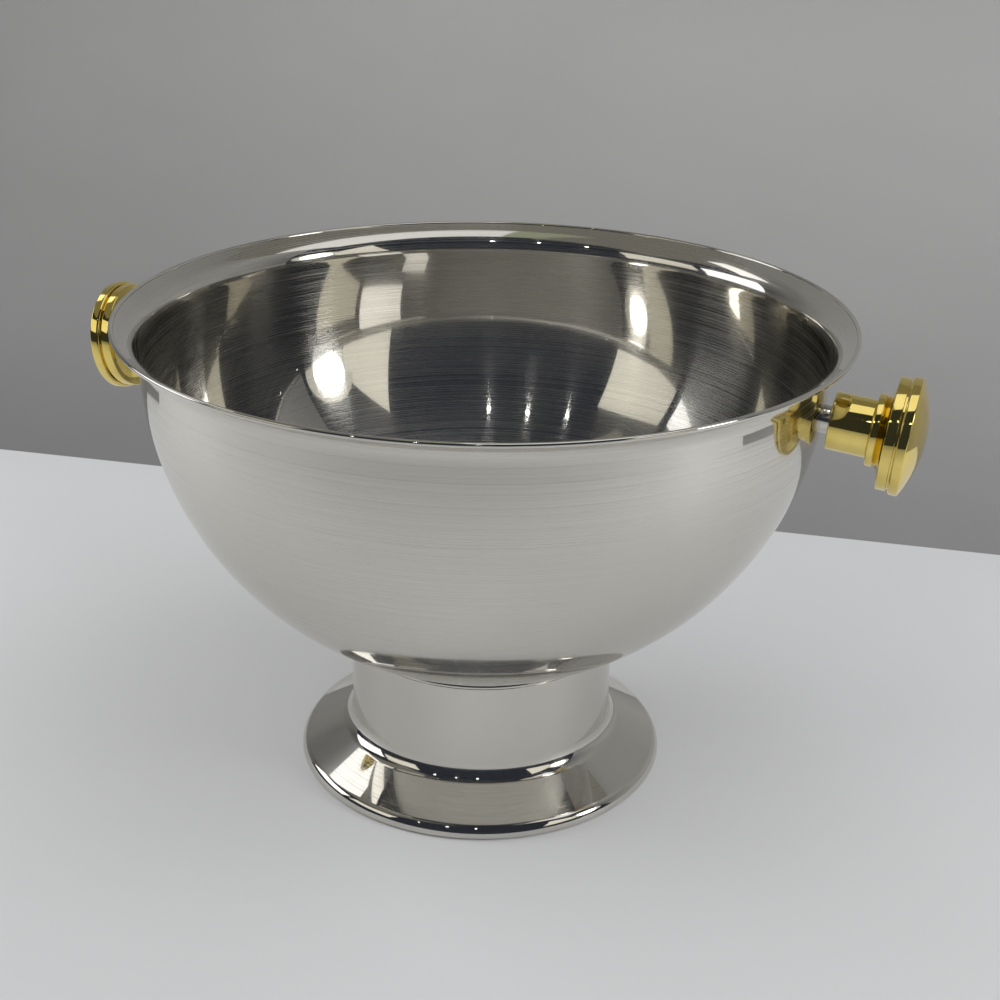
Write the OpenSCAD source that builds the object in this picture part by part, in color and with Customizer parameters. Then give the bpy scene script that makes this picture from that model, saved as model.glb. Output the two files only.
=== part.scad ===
// Footed champagne bowl: a spun steel bowl on a hollow foot, with a brass knob handle on each side.
// +Z is up, Z = 0 is the surface it stands on, and the two handles lie along the X axis.

/* [Bowl] */
// Outer radius of the half-round bowl
bowl_r = 186; // [180:1:192]
// Height of the bowl's centre above the table
bowl_centre_z = 250; // [246:1:254]
// Thickness of the steel sheet
sheet = 1.2; // [0.8:0.1:1.6]

/* [Lip] */
// Outer radius of the rolled lip
lip_r = 200; // [196:1:204]
// Height of the rim wire's centre
rim_z = 268.2; // [268:0.1:272]
// Radius of the bend between the wall and the lip
lip_bend_r = 15; // [13:0.5:15]
// How far the lip leans out from upright, in degrees
lip_lean = 64; // [60:1:66]
// Radius of the rim wire
rim_wire_r = 1.3; // [1.0:0.1:1.6]

/* [Foot] */
// Outer radius of the neck under the bowl
neck_r = 76.2; // [72:0.1:80]
// Outer radius of the foot
foot_r = 107; // [104:1:112]
// Radius of the curve at the bottom of the neck
fillet_r = 12; // [10:0.5:13]
// How the foot slopes: the angle of its face's normal above level, in degrees
foot_slope = 63; // [61:1:66]
// Radius of the foot's rounded edge
edge_r = 7; // [6:0.5:8]
// Radius of the rolled hem that the foot stands on
hem_r = 2.2; // [2.0:0.1:2.5]
// Radius of the brazing bead where the neck meets the bowl
bead_r = 1.7; // [1.4:0.1:2.0]

/* [Foot fixing] */
// Radius of the stud that holds the foot
foot_stud_r = 4; // [3:0.5:5]
// Thickness of the plate that pulls the foot up against the bowl
clamp_t = 2.5; // [2:0.5:4]

/* [Handles] */
// How far the handles point down, in degrees
handle_drop = 5.5; // [4:0.5:8]
// Radius of the threaded stud inside a handle
handle_stud_r = 5; // [4:0.5:6]
// Radius of the steel spacer
spacer_r = 7.5; // [7:0.5:9]
// Length of the steel spacer
spacer_len = 4.3; // [4:0.1:6]
// Radius of the brass stem
stem_r = 15.3; // [14:0.1:17]
// Length of the brass stem
stem_len = 21.3; // [18:0.1:24]
// Radius of the ring between the stem and the knob
collar_r = 19.2; // [18.5:0.1:20]
// Length of that ring
collar_len = 4.1; // [3.5:0.1:5]
// Largest radius of the knob
knob_r = 31; // [30:0.1:33]
// Height of the knob's domed face
dome_h = 8; // [7:0.5:9]

/* [Hidden] */
fine = 180;
medium = 96;
far = 400;

steel = "gainsboro";
brass = "goldenrod";
zinc = "darkgray";

// Lip, worked out from the wall to the rim wire
bend_centre_r = bowl_r - sheet / 2 + lip_bend_r;
lip_flat = (lip_r - rim_wire_r - bend_centre_r + lip_bend_r * cos(lip_lean)) / sin(lip_lean);
bend_z = rim_z - lip_bend_r * sin(lip_lean) - lip_flat * cos(lip_lean);
wire_bite = 0.6;

// How far, in degrees of arc, two pieces of an outline overlap where they meet
seam_lap = 0.5;

// Foot, worked out from the rolled hem up to the neck
hem_gap_end = 150;
hem_flat = 0.2;
hem_centre_r = foot_r - hem_r;
hem_z = hem_r - hem_flat;
edge_centre_r = foot_r - edge_r;
flare_start_r = neck_r + fillet_r * (1 - cos(foot_slope));
flare_stop_r = edge_centre_r + edge_r * cos(foot_slope);
flare_len = (flare_stop_r - flare_start_r) / sin(foot_slope);
neck_base_z = hem_z + (edge_r + fillet_r) * sin(foot_slope) + flare_len * cos(foot_slope);
neck_top_z = bowl_centre_z - sqrt(bowl_r * bowl_r - neck_r * neck_r);

// Foot fixing, from the stud plate down
plate_r = 18;
plate_t = 2;
ledge_t = 3;
ledge_w = 7;
ledge_z = 54;
clamp_gap = 1.5;
hole_gap = 0.2;
washer_r = 8;
washer_t = 1.6;
nut_flats = 13;
nut_t = 6.5;
clamp_z = ledge_z - clamp_t;
washer_z = clamp_z - washer_t;
nut_z = washer_z - nut_t;
foot_stud_z = nut_z - 5;

// Handle, as distances from the bowl's centre along the handle's own axis
stem_at = bowl_r + spacer_len;
collar_at = stem_at + stem_len;
knob_at = collar_at + collar_len;
cove_len = 4;
cove_r = 16.6;
cove_lip_r = 28.3;
band_len = 5.5;
band_inset = 1.3;
groove_len = 0.9;
groove_r = 28.6;
spigot_r = 9;
spigot_len = 4.5;
chamfer = 0.8;
band_at = knob_at + cove_len;
groove_at = band_at + band_len;
cap_at = groove_at + groove_len;
cap_len = 5.1;
dome_at = cap_at + cap_len;
dome_r = (knob_r * knob_r + dome_h * dome_h) / (2 * dome_h);
stud_end = knob_at + 5;

// A 2D ring between two angles less than 180 degrees apart
module ring_sector(inner, outer, from, to) {
    intersection() {
        difference() {
            circle(r = outer, $fn = fine);
            circle(r = inner, $fn = fine);
        }
        polygon([
            [0, 0],
            [far * cos(from), far * sin(from)],
            [far * cos((from + to) / 2), far * sin((from + to) / 2)] * 2,
            [far * cos(to), far * sin(to)]
        ]);
    }
}

module bowl_circle(r) {
    translate([0, bowl_centre_z]) circle(r = r, $fn = fine);
}

// The bowl's wall from the bottom centre up to the start of the bend
module wall_outline() {
    intersection() {
        difference() {
            bowl_circle(bowl_r);
            bowl_circle(bowl_r - sheet);
        }
        translate([0, bowl_centre_z - bowl_r - 1]) square([bowl_r + 1, bowl_r + 1]);
    }
    translate([bowl_r - sheet, bowl_centre_z]) square([sheet, bend_z - bowl_centre_z]);
}

// The bend and the straight lip, which ends inside the rim wire
module lip_outline() {
    translate([bend_centre_r, bend_z]) {
        ring_sector(lip_bend_r - sheet / 2, lip_bend_r + sheet / 2, 180 - lip_lean - seam_lap, 180);
        rotate(180 - lip_lean)
            translate([lip_bend_r - sheet / 2, wire_bite - lip_flat])
                square([sheet, lip_flat - wire_bite + lip_bend_r * sin(seam_lap)]);
    }
}

module bowl_shell() {
    color(steel)
        rotate_extrude($fn = fine) {
            wall_outline();
            lip_outline();
        }
}

module rim_wire() {
    color(steel)
        rotate_extrude($fn = fine)
            difference() {
                translate([lip_r - rim_wire_r, rim_z]) circle(r = rim_wire_r, $fn = medium);
                lip_outline();
            }
}

module neck_bead() {
    color(steel)
        rotate_extrude($fn = fine)
            difference() {
                translate([neck_r, neck_top_z - bead_r]) circle(r = bead_r, $fn = medium);
                bowl_circle(bowl_r);
                translate([neck_r - 2 * bead_r, 0]) square([2 * bead_r, bowl_centre_z]);
            }
}

module neck_outline() {
    difference() {
        translate([neck_r - sheet, neck_base_z]) square([sheet, bowl_centre_z - neck_base_z]);
        bowl_circle(bowl_r);
    }
}

// The straight slope, in line with the end of the rounded edge and the end of the fillet
module flare_outline() {
    translate([edge_centre_r, hem_z])
        rotate(foot_slope)
            translate([edge_r - sheet, -edge_r * sin(seam_lap)])
                square([sheet, flare_len + (edge_r + fillet_r) * sin(seam_lap)]);
}

module hem_outline() {
    translate([hem_centre_r, hem_z])
        difference() {
            circle(r = hem_r, $fn = medium);
            circle(r = hem_r - sheet, $fn = medium);
            polygon([
                [0, 0],
                [far, 0],
                [far * cos(hem_gap_end / 2), far * sin(hem_gap_end / 2)] * 2,
                [far * cos(hem_gap_end), far * sin(hem_gap_end)]
            ]);
        }
}

// Neck, fillet, slope, rounded edge and rolled hem, cut flat where the foot stands
module foot_shell() {
    color(steel)
        rotate_extrude($fn = fine)
            intersection() {
                union() {
                    neck_outline();
                    translate([neck_r + fillet_r, neck_base_z])
                        ring_sector(fillet_r, fillet_r + sheet, 180, 180 + foot_slope + seam_lap);
                    flare_outline();
                    translate([edge_centre_r, hem_z])
                        ring_sector(edge_r - sheet, edge_r, 0, foot_slope + seam_lap);
                    hem_outline();
                }
                square([foot_r + 1, bowl_centre_z]);
            }
}

module foot_wire() {
    color(zinc)
        rotate_extrude($fn = fine)
            translate([hem_centre_r, hem_z]) circle(r = hem_r - sheet, $fn = medium);
}

// Doubling plate brazed under the middle of the bowl
module stud_plate() {
    color(zinc)
        rotate_extrude($fn = fine)
            intersection() {
                difference() {
                    bowl_circle(bowl_r + plate_t);
                    bowl_circle(bowl_r);
                }
                translate([0, bowl_centre_z - bowl_r - 2 * plate_t]) square([plate_r, 4 * plate_t]);
            }
}

module foot_stud() {
    color(zinc)
        difference() {
            translate([0, 0, foot_stud_z])
                cylinder(r = foot_stud_r, h = bowl_centre_z - bowl_r - foot_stud_z, $fn = medium);
            translate([0, 0, bowl_centre_z]) sphere(r = bowl_r + plate_t, $fn = fine);
        }
}

// A flat round plate or ring with its lower face at height z
module disc(z, t, outer, inner) {
    translate([0, 0, z])
        difference() {
            cylinder(r = outer, h = t, $fn = fine);
            translate([0, 0, -1]) cylinder(r = inner, h = t + 2, $fn = fine);
        }
}

module ledge_ring() {
    color(zinc) disc(ledge_z, ledge_t, neck_r - sheet, neck_r - sheet - ledge_w);
}

module clamp_plate() {
    color(zinc) disc(clamp_z, clamp_t, neck_r - sheet - clamp_gap, foot_stud_r + hole_gap);
}

module foot_washer() {
    color(zinc) disc(washer_z, washer_t, washer_r, foot_stud_r + hole_gap);
}

module foot_nut() {
    color(zinc)
        translate([0, 0, nut_z])
            difference() {
                cylinder(d = nut_flats / cos(30), h = nut_t, $fn = 6);
                translate([0, 0, -1]) cylinder(r = foot_stud_r, h = nut_t + 2, $fn = medium);
            }
}

// Puts a handle piece, drawn upright from the bowl's centre, on the right (1) or the left (-1)
module on_side(side) {
    translate([0, 0, bowl_centre_z])
        rotate([0, side * (90 + handle_drop), 0])
            children();
}

module stud_piece() {
    difference() {
        translate([0, 0, bowl_r - 2]) cylinder(r = handle_stud_r, h = stud_end - bowl_r + 2, $fn = medium);
        sphere(r = bowl_r, $fn = fine);
    }
}

module handle_studs() {
    color(zinc) {
        on_side(1) stud_piece();
        on_side(-1) stud_piece();
    }
}

// A turned piece: its 2D children are spun about the handle's axis and bored for the stud
module turned(bore_end) {
    difference() {
        rotate_extrude($fn = fine) children();
        cylinder(r = handle_stud_r, h = bore_end, $fn = medium);
    }
}

// Outline of a round bar with a chamfer at both ends
module bar_outline(at, len, r) {
    polygon([
        [0, at],
        [r - chamfer, at],
        [r, at + chamfer],
        [r, at + len - chamfer],
        [r - chamfer, at + len],
        [0, at + len]
    ]);
}

module spacer_piece() {
    difference() {
        translate([0, 0, bowl_r - 2]) cylinder(r = spacer_r, h = spacer_len + 2, $fn = medium);
        sphere(r = bowl_r, $fn = fine);
        cylinder(r = handle_stud_r, h = far, $fn = medium);
    }
}

module stem_piece() {
    turned(far) bar_outline(stem_at, stem_len, stem_r);
}

module collar_piece() {
    turned(far) bar_outline(collar_at, collar_len, collar_r);
}

// The knob's back half: a cove, a band and the groove's floor, with a pocket for the cap
module knob_body_piece() {
    turned(stud_end)
        difference() {
            union() {
                difference() {
                    translate([0, knob_at]) square([cove_lip_r, cove_len]);
                    translate([cove_lip_r, band_at - cove_r]) circle(r = cove_r, $fn = fine);
                }
                bar_outline(band_at, band_len, knob_r - band_inset);
                translate([0, groove_at]) square([groove_r, groove_len]);
            }
            translate([0, cap_at - spigot_len]) square([spigot_r, spigot_len]);
        }
}

// The knob's domed cap, with the spigot that is pressed into the body
module knob_cap_piece() {
    rotate_extrude($fn = fine) {
        translate([0, cap_at - spigot_len]) square([spigot_r, spigot_len]);
        polygon([
            [0, cap_at],
            [knob_r - 2 * chamfer, cap_at],
            [knob_r - chamfer / 2, cap_at + chamfer],
            [knob_r, dome_at],
            [0, dome_at]
        ]);
        intersection() {
            translate([0, dome_at + dome_h - dome_r]) circle(r = dome_r, $fn = fine);
            translate([0, dome_at]) square([knob_r, dome_h]);
        }
    }
}

module left_spacer() { color(steel) on_side(-1) spacer_piece(); }
module left_stem() { color(brass) on_side(-1) stem_piece(); }
module left_collar() { color(brass) on_side(-1) collar_piece(); }
module left_knob_body() { color(brass) on_side(-1) knob_body_piece(); }
module left_knob_cap() { color(brass) on_side(-1) knob_cap_piece(); }
module right_spacer() { color(steel) on_side(1) spacer_piece(); }
module right_stem() { color(brass) on_side(1) stem_piece(); }
module right_collar() { color(brass) on_side(1) collar_piece(); }
module right_knob_body() { color(brass) on_side(1) knob_body_piece(); }
module right_knob_cap() { color(brass) on_side(1) knob_cap_piece(); }

bowl_shell();
rim_wire();
neck_bead();
foot_shell();
foot_wire();
stud_plate();
foot_stud();
ledge_ring();
clamp_plate();
foot_washer();
foot_nut();
handle_studs();
left_spacer();
left_stem();
left_collar();
left_knob_body();
left_knob_cap();
right_spacer();
right_stem();
right_collar();
right_knob_body();
right_knob_cap();
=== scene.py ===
"""Looks of the footed champagne bowl: turned meshes for the pieces that show, their metals, and a studio."""

import math

import bmesh
import bpy
from mathutils import Matrix, Vector


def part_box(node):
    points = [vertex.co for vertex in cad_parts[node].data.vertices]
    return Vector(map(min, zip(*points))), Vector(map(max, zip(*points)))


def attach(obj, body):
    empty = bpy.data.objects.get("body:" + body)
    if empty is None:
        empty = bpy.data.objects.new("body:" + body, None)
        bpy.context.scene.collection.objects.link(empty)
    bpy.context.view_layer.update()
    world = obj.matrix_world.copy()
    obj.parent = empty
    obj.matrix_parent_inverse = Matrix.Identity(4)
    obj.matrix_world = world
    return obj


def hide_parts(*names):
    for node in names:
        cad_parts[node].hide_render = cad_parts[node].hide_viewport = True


MM = 0.001

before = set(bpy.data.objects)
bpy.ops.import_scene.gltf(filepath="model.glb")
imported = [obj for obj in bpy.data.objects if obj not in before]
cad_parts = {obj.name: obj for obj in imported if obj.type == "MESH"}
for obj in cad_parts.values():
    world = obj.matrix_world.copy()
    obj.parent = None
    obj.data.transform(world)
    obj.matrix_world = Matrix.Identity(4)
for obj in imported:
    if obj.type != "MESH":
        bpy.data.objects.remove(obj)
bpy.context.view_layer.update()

# ---------------------------------------------------------------- sizes, in metres; a few read off the CAD parts

LOW, HIGH = 0, 1  # the two corners of a box

SHEET = 1.2 * MM
WALL_R = 186 * MM
LIP_BEND_R = 15 * MM
LIP_LEAN = 64
LIP_SHORT_OF_RIM = 0.6 * MM
RIM_WIRE_R = 1.3 * MM
NECK_R = 76.2 * MM
FILLET_R = 12 * MM
FOOT_SLOPE = 63
EDGE_R = 7 * MM
HEM_R = 2.2 * MM
HEM_FLAT = 0.2 * MM
HEM_GAP_END = 150
HANDLE_DROP = 5.5
STUD_R = 5 * MM
SPACER_R = 7.5 * MM
SPACER_LEN = 4.3 * MM
STEM_R = 15.3 * MM
STEM_LEN = 21.3 * MM
COLLAR_R = 19.2 * MM
COLLAR_LEN = 4.1 * MM
COVE_LEN = 4 * MM
COVE_R = 16.6 * MM
COVE_LIP_R = 28.3 * MM
BAND_R = 29.7 * MM
BAND_LEN = 5.5 * MM
GROOVE_R = 28.6 * MM
GROOVE_LEN = 0.9 * MM
CAP_R = 31 * MM
CAP_LEN = 5.1 * MM
DOME_H = 8 * MM
SPIGOT_R = 9 * MM
SPIGOT_LEN = 4.5 * MM
BEAD_R = 1.7 * MM
CLAMP_HOLE_R = 4.2 * MM

# Radii that ease the sharp edges.
STEM_EASE = 0.8 * MM
COLLAR_EASE = 0.9 * MM
BAND_EASE = 0.6 * MM
CAP_BEVEL = 0.8 * MM
CAP_EASE = 0.5 * MM
PLATE_EASE = 1.0 * MM
WASHER_EASE = 0.4 * MM

bowl_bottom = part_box("bowl_shell")[LOW].z
centre_z = bowl_bottom + WALL_R
lip_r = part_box("rim_wire")[HIGH].x
rim_z = (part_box("rim_wire")[LOW].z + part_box("rim_wire")[HIGH].z) / 2
foot_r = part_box("foot_shell")[HIGH].x
BOWL_CENTRE = Vector((0, 0, centre_z))


# ---------------------------------------------------------------- outlines, as (radius, height) points


def arc(centre_r, centre_h, radius, start, end, steps):
    """Points on a circle in the outline's plane, from one angle to another in degrees."""
    points = []
    for i in range(steps + 1):
        a = math.radians(start + (end - start) * i / steps)
        points.append((centre_r + radius * math.cos(a), centre_h + radius * math.sin(a)))
    return points


def eased(path, radius, steps=4):
    """The path with every corner between its two ends rounded by the given radius."""
    points = [path[0]]
    for before, corner, after in zip(path, path[1:], path[2:]):
        here = Vector(corner)
        back = Vector(before) - here
        ahead = Vector(after) - here
        start = here + back.normalized() * min(radius, back.length / 2.2)
        end = here + ahead.normalized() * min(radius, ahead.length / 2.2)
        for k in range(steps + 1):
            t = k / steps
            point = start * (1 - t) ** 2 + here * 2 * t * (1 - t) + end * t**2
            points.append((point.x, point.y))
    return points + [path[-1]]


def washer(inner, outer, low, high, radius):
    """A flat ring's outline, with its two outer edges rounded."""
    return eased([(inner, low), (outer, low), (outer, high), (inner, high)], radius)


# ---------------------------------------------------------------- meshes


def turned(name, outline, segments, place=None, sharp=40):
    """A closed outline spun about the local Z axis, as one closed mesh with smooth shading."""
    mesh = bpy.data.meshes.new(name)
    work = bmesh.new()
    rings = []
    for radius, height in outline:
        if radius < 1e-7:
            rings.append([work.verts.new((0, 0, height))])
            continue
        ring = []
        for i in range(segments):
            a = 2 * math.pi * i / segments
            ring.append(work.verts.new((radius * math.cos(a), radius * math.sin(a), height)))
        rings.append(ring)
    for k, ring in enumerate(rings):
        following = rings[(k + 1) % len(rings)]
        if len(ring) == 1 and len(following) == 1:
            continue
        for i in range(segments):
            j = (i + 1) % segments
            if len(ring) == 1:
                work.faces.new((ring[0], following[j], following[i]))
            elif len(following) == 1:
                work.faces.new((ring[i], ring[j], following[0]))
            else:
                work.faces.new((ring[i], ring[j], following[j], following[i]))
    bmesh.ops.recalc_face_normals(work, faces=work.faces)
    work.to_mesh(mesh)
    work.free()
    mesh.shade_smooth()
    mesh.set_sharp_from_angle(angle=math.radians(sharp))
    piece = bpy.data.objects.new(name, mesh)
    bpy.context.scene.collection.objects.link(piece)
    if place is not None:
        piece.matrix_world = place
    return piece


def dress(piece, material, node):
    """Gives a piece its material, and puts it in the place of a CAD node."""
    piece.data.materials.append(material)
    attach(piece, "root")
    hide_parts(node)
    return piece


# ---------------------------------------------------------------- materials


class Surface:
    """A Principled material, with short calls for the nodes that pattern it."""

    def __init__(self, name, **sockets):
        self.material = bpy.data.materials.new(name)
        self.material.use_nodes = True
        self.tree = self.material.node_tree
        self.shader = self.tree.nodes["Principled BSDF"]
        for socket, value in sockets.items():
            self.shader.inputs[socket.replace("_", " ")].default_value = value

    def node(self, kind, inputs=None, **settings):
        made = self.tree.nodes.new("ShaderNode" + kind)
        for key, value in settings.items():
            setattr(made, key, value)
        for key, value in (inputs or {}).items():
            if isinstance(value, bpy.types.NodeSocket):
                self.tree.links.new(value, made.inputs[key])
            else:
                made.inputs[key].default_value = value
        return made

    def feed(self, socket, output):
        self.tree.links.new(output, self.shader.inputs[socket])

    def math(self, operation, a, b=0.0):
        return self.node("Math", {0: a, 1: b}, operation=operation).outputs[0]

    def position(self):
        return self.node("TexCoord").outputs["Object"]

    def noise(self, vector, scale, detail=2.0, roughness=0.5):
        inputs = {"Vector": vector, "Scale": scale, "Detail": detail, "Roughness": roughness}
        return self.node("TexNoise", inputs).outputs["Fac"]

    def lathe_noise(self, vector, scale, detail=3.0, around=0.0):
        """Noise in rings about the local Z axis, as a cutter or a polishing wheel leaves them."""
        apart = self.node("SeparateXYZ", {0: vector})
        flat = self.node("CombineXYZ", {"X": apart.outputs["X"], "Y": apart.outputs["Y"]})
        radius = self.node("VectorMath", {0: flat.outputs[0]}, operation="LENGTH").outputs["Value"]
        along = self.math("ADD", self.math("MULTIPLY", radius, 0.83), apart.outputs["Z"])
        wander = self.math("MULTIPLY", self.noise(vector, 6.0), around)
        inputs = {"W": self.math("ADD", along, wander), "Scale": scale, "Detail": detail, "Roughness": 0.6}
        return self.node("TexNoise", inputs, noise_dimensions="1D").outputs["Fac"]

    def remap(self, value, from_low, from_high, low, high):
        inputs = {"Value": value, "From Min": from_low, "From Max": from_high, "To Min": low, "To Max": high}
        return self.node("MapRange", inputs).outputs["Result"]

    def spread(self, value, low, high):
        """Maps 0..1 noise, which mostly lies from 0.3 to 0.7, to a range."""
        return self.remap(value, 0.3, 0.7, low, high)

    def tint(self, value, first, second):
        inputs = {"Factor": value, 6: first, 7: second}
        return self.node("Mix", inputs, data_type="RGBA").outputs[2]

    def bumps(self, *layers):
        """Stacks (height, depth in metres) layers of bump and feeds them to the shader."""
        normal = None
        for height, depth in layers:
            inputs = {"Height": height, "Distance": depth, "Strength": 1.0}
            if normal is not None:
                inputs["Normal"] = normal
            normal = self.node("Bump", inputs).outputs["Normal"]
        self.feed("Normal", normal)


STEEL_DARK, STEEL_LIGHT = (0.645, 0.625, 0.575, 1), (0.685, 0.667, 0.620, 1)
BRASS_DARK, BRASS_LIGHT = (0.80, 0.62, 0.17, 1), (0.92, 0.74, 0.24, 1)
ZINC_DARK, ZINC_LIGHT = (0.40, 0.41, 0.42, 1), (0.58, 0.59, 0.60, 1)
ACROSS_RINGS = 0.25  # the anisotropic rotation that smears light across the rings


def spun_steel(name, ring_scale, ring_depth, wave_depth, smooth, scratched):
    """Stainless steel polished on the lathe: near a mirror, but its deeper rings smear the light."""
    s = Surface(name, Metallic=1.0, Anisotropic=1.0, Anisotropic_Rotation=ACROSS_RINGS)
    where = s.position()
    rings = s.lathe_noise(where, ring_scale, detail=3.0, around=0.002)
    waves = s.lathe_noise(where, ring_scale / 22, detail=1.0, around=0.01)
    marks = s.lathe_noise(where, ring_scale * 9, detail=2.0, around=0.002)
    cloud = s.noise(where, 9.0, detail=3.0)
    s.feed("Base Color", s.tint(s.spread(cloud, 0.0, 1.0), STEEL_DARK, STEEL_LIGHT))
    worn = s.math("ADD", s.math("MULTIPLY", marks, 0.8), s.math("MULTIPLY", cloud, 0.2))
    s.feed("Roughness", s.remap(worn, 0.50, 0.68, smooth, scratched))
    s.feed("Tangent", s.node("Tangent", direction_type="RADIAL", axis="Z").outputs[0])
    s.bumps((cloud, 40e-6), (waves, wave_depth), (rings, ring_depth))
    return s.material


def turned_brass(name):
    """Polished and lacquered brass: fine cutter rings, a little darker tarnish in patches."""
    lacquer = {"Coat_Weight": 0.15, "Coat_Roughness": 0.03}
    s = Surface(name, Metallic=1.0, Anisotropic=0.4, Anisotropic_Rotation=ACROSS_RINGS, **lacquer)
    where = s.position()
    rings = s.lathe_noise(where, 1400.0, detail=3.0)
    cloud = s.noise(where, 60.0, detail=4.0, roughness=0.6)
    s.feed("Base Color", s.tint(s.spread(cloud, 0.0, 1.0), BRASS_DARK, BRASS_LIGHT))
    grain = s.math("ADD", s.math("MULTIPLY", rings, 0.6), s.math("MULTIPLY", cloud, 0.4))
    s.feed("Roughness", s.spread(grain, 0.03, 0.10))
    s.feed("Tangent", s.node("Tangent", direction_type="RADIAL", axis="Z").outputs[0])
    s.bumps((cloud, 12e-6), (rings, 1.2e-6))
    return s.material


def zinc_plate(name):
    """Dull zinc plate with its cloudy crystals."""
    s = Surface(name, Metallic=1.0)
    where = s.position()
    cells = s.node("TexVoronoi", {"Vector": where, "Scale": 420.0}).outputs["Color"]
    cloud = s.noise(where, 70.0, detail=5.0)
    grey = s.tint(s.spread(cloud, 0.0, 1.0), ZINC_DARK, ZINC_LIGHT)
    crystals = s.node("Mix", {"Factor": 0.12, 6: grey, 7: cells}, data_type="RGBA", blend_type="SOFT_LIGHT")
    s.feed("Base Color", crystals.outputs[2])
    s.feed("Roughness", s.spread(cloud, 0.32, 0.5))
    s.bumps((cloud, 40e-6), (s.noise(where, 900.0), 8e-6))
    return s.material


bowl_steel = spun_steel(
    "bowl_steel", ring_scale=520.0, ring_depth=0.5e-6, wave_depth=4e-6, smooth=0.025, scratched=0.42
)
foot_steel = spun_steel(
    "foot_steel", ring_scale=700.0, ring_depth=0.6e-6, wave_depth=3e-6, smooth=0.02, scratched=0.16
)
wire_steel = spun_steel(
    "wire_steel", ring_scale=1400.0, ring_depth=0.3e-6, wave_depth=1e-6, smooth=0.03, scratched=0.12
)
brass = turned_brass("brass")
zinc = zinc_plate("zinc")

# ---------------------------------------------------------------- the bowl

SEGMENTS = 288
KNOB_SEGMENTS = 144

half = SHEET / 2
bend_centre_r = WALL_R - half + LIP_BEND_R
lean = math.radians(LIP_LEAN)
lip_flat = (lip_r - RIM_WIRE_R - bend_centre_r + LIP_BEND_R * math.cos(lean)) / math.sin(lean)
bend_z = rim_z - LIP_BEND_R * math.sin(lean) - lip_flat * math.cos(lean)
lip_run = lip_flat - LIP_SHORT_OF_RIM


def lip_end(radius):
    """Where the straight lip ends, on the face that is this far from the bend's centre."""
    a = math.radians(180 - LIP_LEAN)
    return (
        bend_centre_r + radius * math.cos(a) + lip_run * math.sin(a),
        bend_z + radius * math.sin(a) - lip_run * math.cos(a),
    )


outer = arc(0, centre_z, WALL_R, -90, 0, 96)
outer += arc(bend_centre_r, bend_z, LIP_BEND_R - half, 180, 180 - LIP_LEAN, 20)
outer += [lip_end(LIP_BEND_R - half)]
inner = [lip_end(LIP_BEND_R + half)]
inner += arc(bend_centre_r, bend_z, LIP_BEND_R + half, 180 - LIP_LEAN, 180, 20)
inner += arc(0, centre_z, WALL_R - SHEET, 0, -90, 96)
dress(turned("spun_bowl", outer + inner, SEGMENTS), bowl_steel, "bowl_shell")

rim = arc(lip_r - RIM_WIRE_R, rim_z, RIM_WIRE_R, 0, 345, 23)
dress(turned("rolled_rim", rim, SEGMENTS), wire_steel, "rim_wire")

# ---------------------------------------------------------------- the foot

hem_r = foot_r - HEM_R
hem_z = HEM_R - HEM_FLAT
edge_r = foot_r - EDGE_R
slope = math.radians(FOOT_SLOPE)
flare_len = (edge_r + EDGE_R * math.cos(slope) - NECK_R - FILLET_R * (1 - math.cos(slope))) / math.sin(slope)
neck_base_z = hem_z + (EDGE_R + FILLET_R) * math.sin(slope) + flare_len * math.cos(slope)
hem_rest = math.degrees(math.acos(hem_z / HEM_R))


def under_bowl(radius):
    """Height of the bowl's underside at a radius."""
    return centre_z - math.sqrt(WALL_R**2 - radius**2)


foot = [(NECK_R, under_bowl(NECK_R))]
foot += arc(NECK_R + FILLET_R, neck_base_z, FILLET_R, 180, 180 + FOOT_SLOPE, 24)
foot += arc(edge_r, hem_z, EDGE_R, FOOT_SLOPE, 0, 20)
foot += arc(hem_r, hem_z, HEM_R, 0, -90 + hem_rest, 12)[1:]
foot += arc(hem_r, hem_z, HEM_R, -90 - hem_rest, HEM_GAP_END - 360, 16)
foot += arc(hem_r, hem_z, HEM_R - SHEET, HEM_GAP_END - 360, 0, 24)
foot += arc(edge_r, hem_z, EDGE_R - SHEET, 0, FOOT_SLOPE, 20)[1:]
foot += arc(NECK_R + FILLET_R, neck_base_z, FILLET_R + SHEET, 180 + FOOT_SLOPE, 180, 24)
foot += [(NECK_R - SHEET, under_bowl(NECK_R - SHEET))]
dress(turned("spun_foot", foot, SEGMENTS), foot_steel, "foot_shell")

bead_z = under_bowl(NECK_R) - BEAD_R
bead = [(NECK_R, under_bowl(NECK_R))] + arc(NECK_R, bead_z, BEAD_R, 62, -90, 20)
dress(turned("brazed_bead", bead, SEGMENTS, sharp=60), wire_steel, "neck_bead")

# ---------------------------------------------------------------- the handles

stem_at = WALL_R + SPACER_LEN
collar_at = stem_at + STEM_LEN
knob_at = collar_at + COLLAR_LEN
band_at = knob_at + COVE_LEN
groove_at = band_at + BAND_LEN
cap_at = groove_at + GROOVE_LEN
dome_at = cap_at + CAP_LEN
dome_radius = (CAP_R**2 + DOME_H**2) / (2 * DOME_H)
dome_half = math.degrees(math.asin(CAP_R / dome_radius))


def on_wall(radius):
    """Distance from the bowl's centre of the wall's face, at a radius from the handle's axis."""
    return math.sqrt(WALL_R**2 - radius**2)


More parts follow.
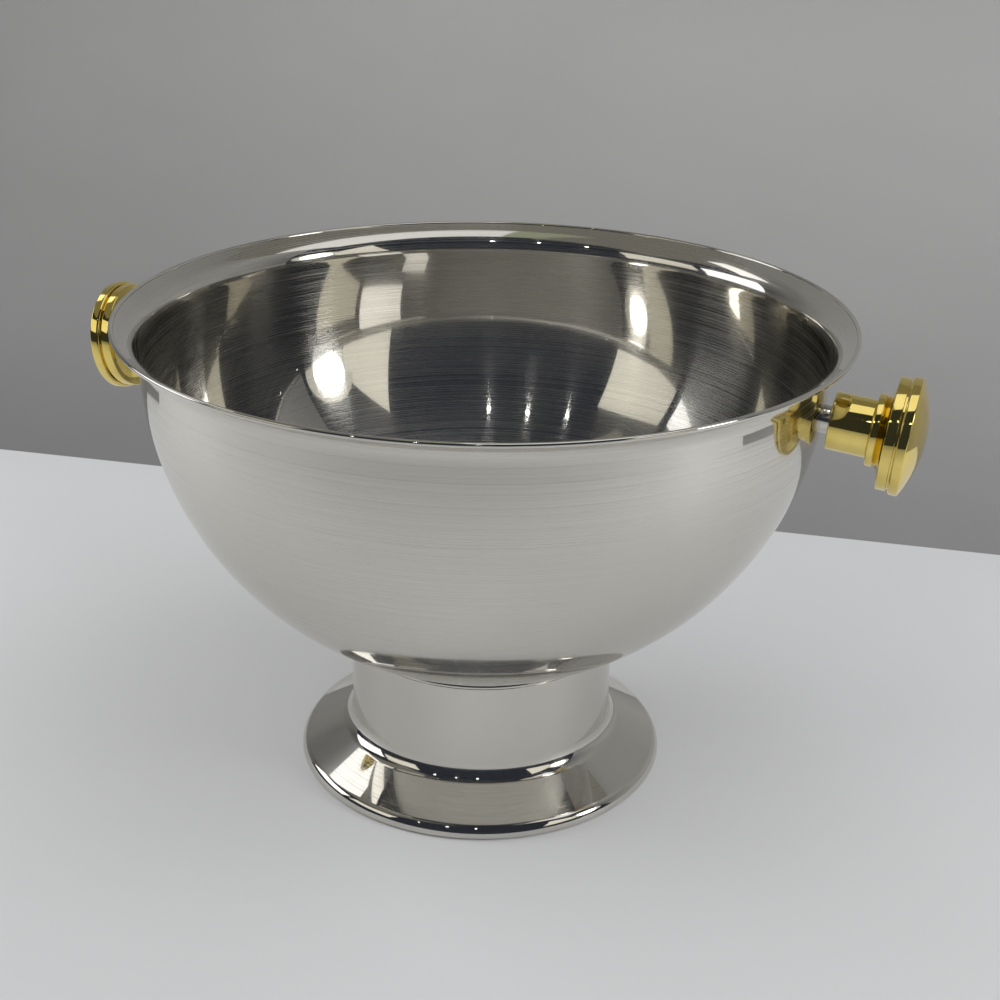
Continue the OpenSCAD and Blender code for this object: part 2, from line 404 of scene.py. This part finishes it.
spacer = [(STUD_R, on_wall(STUD_R)), (SPACER_R, on_wall(SPACER_R)), (SPACER_R, stem_at), (STUD_R, stem_at)]
stem = washer(STUD_R, STEM_R, stem_at, collar_at, STEM_EASE)
collar = washer(STUD_R, COLLAR_R, collar_at, knob_at, COLLAR_EASE)
cove_start = 180 - math.degrees(math.asin((COVE_R - COVE_LEN) / COVE_R))
knob_body = [(STUD_R, knob_at)]
knob_body += arc(COVE_LIP_R, band_at - COVE_R, COVE_R, cove_start, 90, 16)
knob_body += washer(COVE_LIP_R, BAND_R, band_at, groove_at, BAND_EASE)[1:-1]
knob_body += [(GROOVE_R, groove_at), (GROOVE_R, cap_at)]
knob_body += [(SPIGOT_R, cap_at), (SPIGOT_R, cap_at - SPIGOT_LEN), (STUD_R, cap_at - SPIGOT_LEN)]
dome = arc(0, dome_at + DOME_H - dome_radius, dome_radius, 90 - dome_half, 90, 24)
cap_back = [(SPIGOT_R, cap_at), (CAP_R - CAP_BEVEL, cap_at), (CAP_R, cap_at + CAP_BEVEL), dome[0], dome[1]]
knob_cap = [(0, cap_at - SPIGOT_LEN), (SPIGOT_R, cap_at - SPIGOT_LEN)]
knob_cap += eased(cap_back, CAP_EASE) + dome[2:]
TURNED = {
    "spacer": (spacer, wire_steel, "polished_steel"),
    "stem": (stem, brass, "polished_brass"),
    "collar": (collar, brass, "polished_brass"),
    "knob_body": (knob_body, brass, "polished_brass"),
    "knob_cap": (knob_cap, brass, "polished_brass"),
}
for side, sign in (("left", -1), ("right", 1)):
    turn = Matrix.Rotation(math.radians(sign * (90 + HANDLE_DROP)), 4, "Y")
    place = Matrix.Translation(BOWL_CENTRE) @ turn
    for part, (outline, material, slot_name) in TURNED.items():
        piece = turned(f"{side}_turned_{part}", outline, KNOB_SEGMENTS, place, sharp=30)
        dress(piece, material, f"{side}_{part}")


def ring_piece(name, node, inner, radius):
    """A flat zinc plate in place of its CAD node, with its outer edges rounded."""
    low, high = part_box(node)
    piece = turned(name, washer(inner, high.x, low.z, high.z, radius), KNOB_SEGMENTS)
    return dress(piece, zinc, node)


ring_piece("pressed_clamp_plate", "clamp_plate", CLAMP_HOLE_R, PLATE_EASE)
ring_piece("pressed_washer", "foot_washer", CLAMP_HOLE_R, WASHER_EASE)

for node in ("foot_wire", "stud_plate", "foot_stud", "ledge_ring", "foot_nut", "handle_studs"):
    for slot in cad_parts[node].material_slots:
        slot.material = zinc

# ---------------------------------------------------------------- camera

HANDLE_TURN = 19.3
CAMERA_DISTANCE = 0.8416
CAMERA_HEIGHT = 0.5213
CAMERA_DOWN = 23.41
CAMERA_RIGHT = 0.63
CAMERA_ROLL = -1.06
LENS, SENSOR = 58.0, 36
NEAREST, FURTHEST = 0.05, 50


def heading(bearing, distance, height):
    """A point out from the bowl's axis. Bearings run clockwise from the way the camera looks, in degrees."""
    a = math.radians(bearing - HANDLE_TURN)
    return Vector((distance * math.sin(a), distance * math.cos(a), height))


def spot(across, ahead, height=0):
    """A point that is so far to the right of the bowl's axis and so far beyond it, as the camera looks."""
    return heading(math.degrees(math.atan2(across, ahead)), math.hypot(across, ahead), height)


camera = bpy.data.objects.new("camera", bpy.data.cameras.new("camera"))
camera.data.sensor_width = SENSOR
camera.data.lens = LENS
camera.data.clip_start = NEAREST
camera.data.clip_end = FURTHEST
camera.location = heading(180, CAMERA_DISTANCE, CAMERA_HEIGHT)
pan = Matrix.Rotation(math.radians(HANDLE_TURN - CAMERA_RIGHT), 4, "Z")
tilt = Matrix.Rotation(math.radians(90 - CAMERA_DOWN), 4, "X")
roll = Matrix.Rotation(math.radians(-CAMERA_ROLL), 4, "Z")
camera.rotation_mode = "QUATERNION"
camera.rotation_quaternion = (pan @ tilt @ roll).to_quaternion()
bpy.context.scene.collection.objects.link(camera)
bpy.context.scene.camera = camera

# ---------------------------------------------------------------- studio


PAINT_SHINE = 0.25


def staged(name, corners, faces, material):
    """A mesh that belongs to the studio."""
    mesh = bpy.data.meshes.new(name)
    mesh.from_pydata([tuple(c) for c in corners], [], faces)
    mesh.materials.append(material)
    thing = bpy.data.objects.new(name, mesh)
    bpy.context.scene.collection.objects.link(thing)
    return thing


def paint(name, colour, roughness, mottle):
    """Matt paint, a little uneven."""
    s = Surface(name, Roughness=roughness, Specular_IOR_Level=PAINT_SHINE)
    cloud = s.noise(s.position(), 3.0, detail=5.0)
    darker = [c * (1 - mottle) for c in colour]
    s.feed("Base Color", s.tint(s.spread(cloud, 0.0, 1.0), (*darker, 1), (*colour, 1)))
    return s.material


def glow(name, colour, strength):
    """A material that only gives light."""
    material = bpy.data.materials.new(name)
    material.use_nodes = True
    tree = material.node_tree
    tree.nodes.clear()
    emission = tree.nodes.new("ShaderNodeEmission")
    emission.inputs["Color"].default_value = (*colour, 1)
    emission.inputs["Strength"].default_value = strength
    output = tree.nodes.new("ShaderNodeOutputMaterial")
    tree.links.new(emission.outputs[0], output.inputs["Surface"])
    return material


# Painted shade on the wall: it is painted lighter the further it lies towards this bearing, so darker by the
# table and on the left.
LIGHTER_BEARING = 25
DARK_AT, LIGHT_AT = 0.2, 1.4
WALL_UNEVEN = 0.08


def wall_painted_shade(name, near, far, roughness):
    """Grey paint with painted shade on it: darker by the table, and darker on the left."""
    s = Surface(name, Roughness=roughness, Specular_IOR_Level=PAINT_SHINE)
    towards = heading(LIGHTER_BEARING, 1, 0)
    along = s.node("VectorMath", {0: s.position(), 1: towards}, operation="DOT_PRODUCT").outputs["Value"]
    # painted shade: the colour runs from the shaded tone to the lit tone along that bearing
    painted_shade_mask = s.remap(along, DARK_AT, LIGHT_AT, 0.0, 1.0)
    cloud = s.noise(s.position(), 3.0, detail=5.0)
    uneven = s.math("MULTIPLY", s.spread(cloud, -0.5, 0.5), WALL_UNEVEN)
    s.feed("Base Color", s.tint(s.math("ADD", painted_shade_mask, uneven), (*near, 1), (*far, 1)))
    return s.material


table_paint = paint("table_paint", (0.775, 0.785, 0.81), 0.55, 0.03)
# The wall's colour carries painted shade: darker by the table and on the left.
wall_paint_painted_shade = wall_painted_shade("wall_paint_painted_shade", (0.22, 0.22, 0.225), (0.66, 0.66, 0.67), 0.8)

# The pale top. Its far edge runs a little askew behind the bowl.
TOP_REACH = 3.0
far_left = spot(-0.420, 0.458)
far_right = spot(0.395, 0.270)
edge = (far_right - far_left).normalized()
nearer = Vector((edge.y, -edge.x, 0))
middle = (far_left + far_right) / 2
top = [middle - edge * TOP_REACH, middle + edge * TOP_REACH]
top += [top[1] + nearer * TOP_REACH, top[0] + nearer * TOP_REACH]
staged("table_top", top, [(0, 1, 2, 3)], table_paint)

# The grey floor behind it sweeps up into a grey wall.
SWEEP_FROM, SWEEP_TO = -62, 100
WALL_DISTANCE = 2.1
WALL_HEIGHT = 2.4
SWEEP_R = 1.4
SWEEP_STEPS = 40
UNDER_TOP = 0.002
sweep = [(0.0, -UNDER_TOP)] + arc(WALL_DISTANCE - SWEEP_R, SWEEP_R - UNDER_TOP, SWEEP_R, -90, 0, 16)
sweep += [(WALL_DISTANCE, WALL_HEIGHT)]
bearings = [SWEEP_FROM + (SWEEP_TO - SWEEP_FROM) * i / SWEEP_STEPS for i in range(SWEEP_STEPS + 1)]
corners = [heading(b, d, h) for b in bearings for d, h in sweep]
row = len(sweep)
faces = [
    (i * row + k, i * row + k + 1, (i + 1) * row + k + 1, (i + 1) * row + k)
    for i in range(len(bearings) - 1)
    for k in range(row - 1)
]
backdrop = staged("backdrop", corners, faces, wall_paint_painted_shade)
backdrop.data.shade_smooth()

# Lit panels round the room, each given by its corners' bearings and elevations as seen from the bowl.
ROOM = 2.3
BEFORE_RIM = ROOM - 0.05
BEFORE_WALL = 1.9
EYE = 0.2
DISC_SIDES = 48


def lit_panel(name, directions, colour, strength, distance=ROOM):
    """A flat panel with its corners in the given (bearing, elevation) directions."""
    corners = [heading(b, distance, EYE + distance * math.tan(math.radians(e))) for b, e in directions]
    return staged(name, corners, [tuple(range(len(corners)))], glow(name, colour, strength))


def lit_disc(name, bearing, elevation, radius_deg, colour, strength, distance=ROOM):
    """A round lamp that faces the bowl. Its radius is the angle it spans from there."""
    centre = heading(bearing, distance, EYE + distance * math.tan(math.radians(elevation)))
    facing = (BOWL_CENTRE - centre).normalized()
    side = facing.cross(Vector((0, 0, 1))).normalized()
    up = side.cross(facing)
    radius = (BOWL_CENTRE - centre).length * math.tan(math.radians(radius_deg))
    ring = []
    for i in range(DISC_SIDES):
        a = 2 * math.pi * i / DISC_SIDES
        ring.append(centre + side * radius * math.cos(a) + up * radius * math.sin(a))
    return staged(name, ring, [tuple(range(DISC_SIDES))], glow(name, colour, strength))


CREAM = (1.0, 0.97, 0.86)
WHITE = (1.0, 1.0, 1.0)
GREENISH = (0.85, 0.92, 0.66)
lit_panel("panel_right", [(122, 10), (119.5, 23), (132, 39), (143, 9)], CREAM, 1.0)
lit_panel("panel_left", [(-126, 13), (-126, 34), (-95.5, 28), (-95.5, 14)], CREAM, 1.0)
lit_panel("window_left", [(-92, 7), (-92, 26), (-57, 26), (-57, 7)], WHITE, 2.2)
lit_disc("lamp_rim", 112.5, 18.75, 10, CREAM, 0.8)
lit_disc("lamp_core", 112.5, 18.75, 6.5, WHITE, 9.0, BEFORE_RIM)
lit_panel("window_high", [(-66, 34), (-66, 50), (-48, 50), (-48, 34)], WHITE, 1.6, BEFORE_WALL)
for index, (bearing, elevation) in enumerate(((-178, 43.7), (-158, 43.5), (-138, 40.8))):
    lit_disc(f"lamp_{index}", bearing, elevation, 0.6, WHITE, 40.0)

CEILING = 2.6


def ceiling(name, left, right, behind, ahead, colour, strength):
    """A level lit rectangle overhead. Its sides are distances from the bowl's axis."""
    sides = [(left, behind), (right, behind), (right, ahead), (left, ahead)]
    corners = [spot(x, y, CEILING) for x, y in sides]
    return staged(name, corners, [(0, 1, 2, 3)], glow(name, colour, strength))


ceiling("ceiling_bright", -0.15, 2.2, -1.0, 0.5, WHITE, 1.0)
ceiling("ceiling_pale", -0.6, -0.15, -1.0, 0.5, GREENISH, 0.42)
ceiling("ceiling_front", -3.0, 3.0, 0.5, 2.4, CREAM, 0.20)
ceiling("ceiling_left", -3.0, -0.5, -1.2, 0.5, CREAM, 0.20)


def soft_light(name, bearing, distance, height, size, power):
    """A round light that shines on the table and the walls and doesn't show in the metal."""
    data = bpy.data.lights.new(name, "AREA")
    data.shape = "DISK"
    data.size = size
    data.energy = power
    light = bpy.data.objects.new(name, data)
    light.location = heading(bearing, distance, height)
    light.rotation_mode = "QUATERNION"
    aim = heading(bearing, distance / 2, 0)
    light.rotation_quaternion = (aim - light.location).to_track_quat("-Z", "Y")
    light.visible_glossy = False
    bpy.context.scene.collection.objects.link(light)


soft_light("left_side", -82, 1.2, 1.0, 1.0, 4.2)
soft_light("right_side", 98, 1.2, 1.0, 1.0, 3.0)
soft_light("left_pool", -78, 0.65, 0.50, 0.4, 0.80)
soft_light("right_pool", 108, 0.66, 0.50, 0.4, 1.0)

# Far corners of the room are a dark navy. A ray that has met a matt surface finds an even, pale room.
NAVY = (0.030, 0.034, 0.045, 1)
FILL = 0.30
PALE = (FILL, FILL, FILL * 0.99, 1)
world = bpy.data.worlds.new("world")
world.use_nodes = True
tree = world.node_tree
path = tree.nodes.new("ShaderNodeLightPath")
matt = tree.nodes.new("ShaderNodeMath")
matt.operation = "MINIMUM"
matt.inputs[1].default_value = 1.0
tree.links.new(path.outputs["Diffuse Depth"], matt.inputs[0])
shade = tree.nodes.new("ShaderNodeMix")
shade.data_type = "RGBA"
shade.inputs[6].default_value = NAVY
shade.inputs[7].default_value = PALE
tree.links.new(matt.outputs[0], shade.inputs[0])
tree.links.new(shade.outputs[2], tree.nodes["Background"].inputs["Color"])
bpy.context.scene.world = world
bpy.context.scene.view_settings.view_transform = "Standard"
